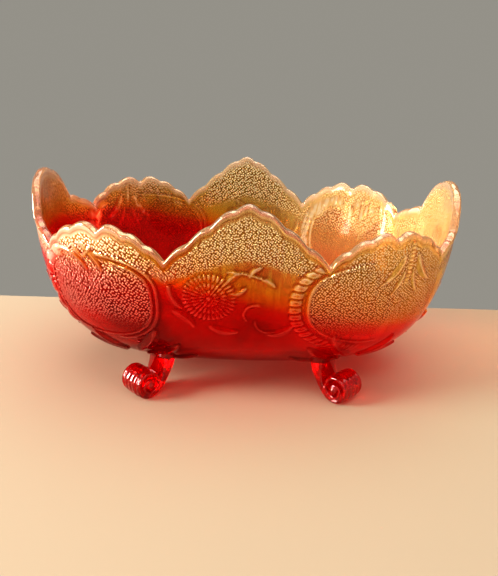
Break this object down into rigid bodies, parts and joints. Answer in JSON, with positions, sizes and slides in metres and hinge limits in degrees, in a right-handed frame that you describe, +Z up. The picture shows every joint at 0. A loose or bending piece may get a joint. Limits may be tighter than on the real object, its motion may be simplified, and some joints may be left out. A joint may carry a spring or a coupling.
{
  "type": "footed fruit bowl",
  "caption": "Oval footed glass fruit bowl with a lobed, scalloped rim and rolled scroll feet, for holding fruit or as a table centrepiece.",
  "frame": {"origin": "on the table, under the middle of the bowl", "axes": "+X along the bowl's length, +Y across it towards the back, +Z up"},
  "size_m": [0.2896, 0.1986, 0.1384],
  "materials": {
    "amber_stained_glass": "clear pressed glass, stained ruby at the base to gold at the rim, with an iridescent film",
    "ruby_stained_glass": "clear pressed glass, stained ruby, with an iridescent film"
  },
  "bodies": {
    "root": {"bowl": "amber_stained_glass", "foot_front_left": "ruby_stained_glass", "foot_front_right": "ruby_stained_glass", "foot_back_left": "ruby_stained_glass", "foot_back_right": "ruby_stained_glass"}
  },
  "joints": []
}
